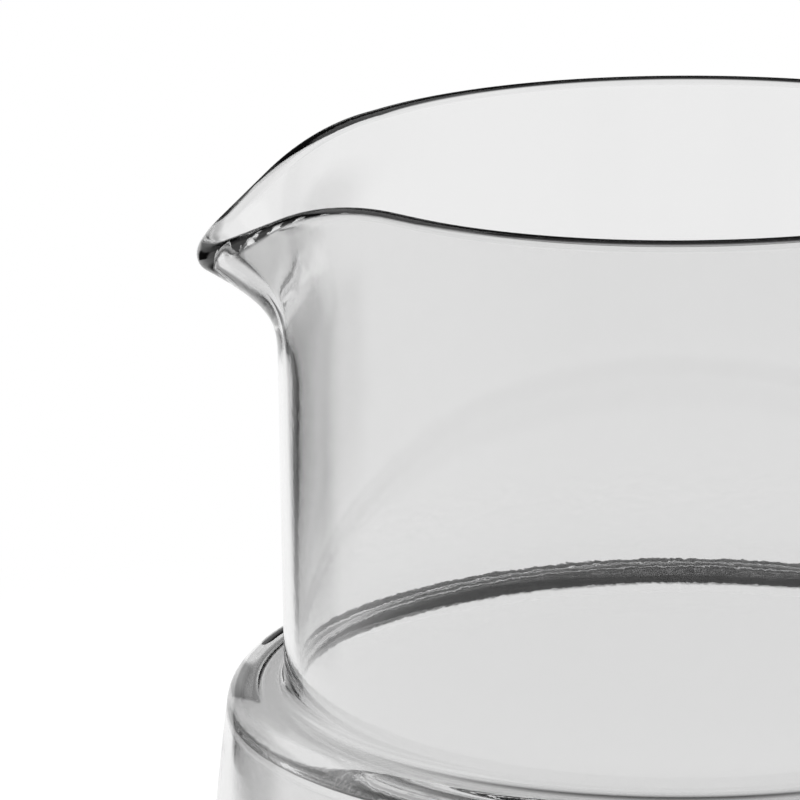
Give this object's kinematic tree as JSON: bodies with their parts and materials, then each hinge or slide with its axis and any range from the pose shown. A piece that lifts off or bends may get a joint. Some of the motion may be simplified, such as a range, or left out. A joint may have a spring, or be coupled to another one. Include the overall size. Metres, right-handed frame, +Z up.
{
  "type": "glass carafe",
  "caption": "Clear glass carafe, blown in one piece: a tall round body, a flat narrow shoulder, a wide straight neck and a pouring lip pulled out of the round-edged rim.",
  "frame": {"origin": "centre of the foot ring, on the surface that the carafe stands on", "axes": "+Z up along the carafe's axis; the pouring lip points along -X"},
  "size_m": [0.0924, 0.0924, 0.24],
  "materials": {
    "glass": "clear soda-lime glass with a faint grey tone, blown in a mould, fire-polished rim"
  },
  "bodies": {
    "root": {"glass_vessel": "glass"}
  },
  "joints": []
}
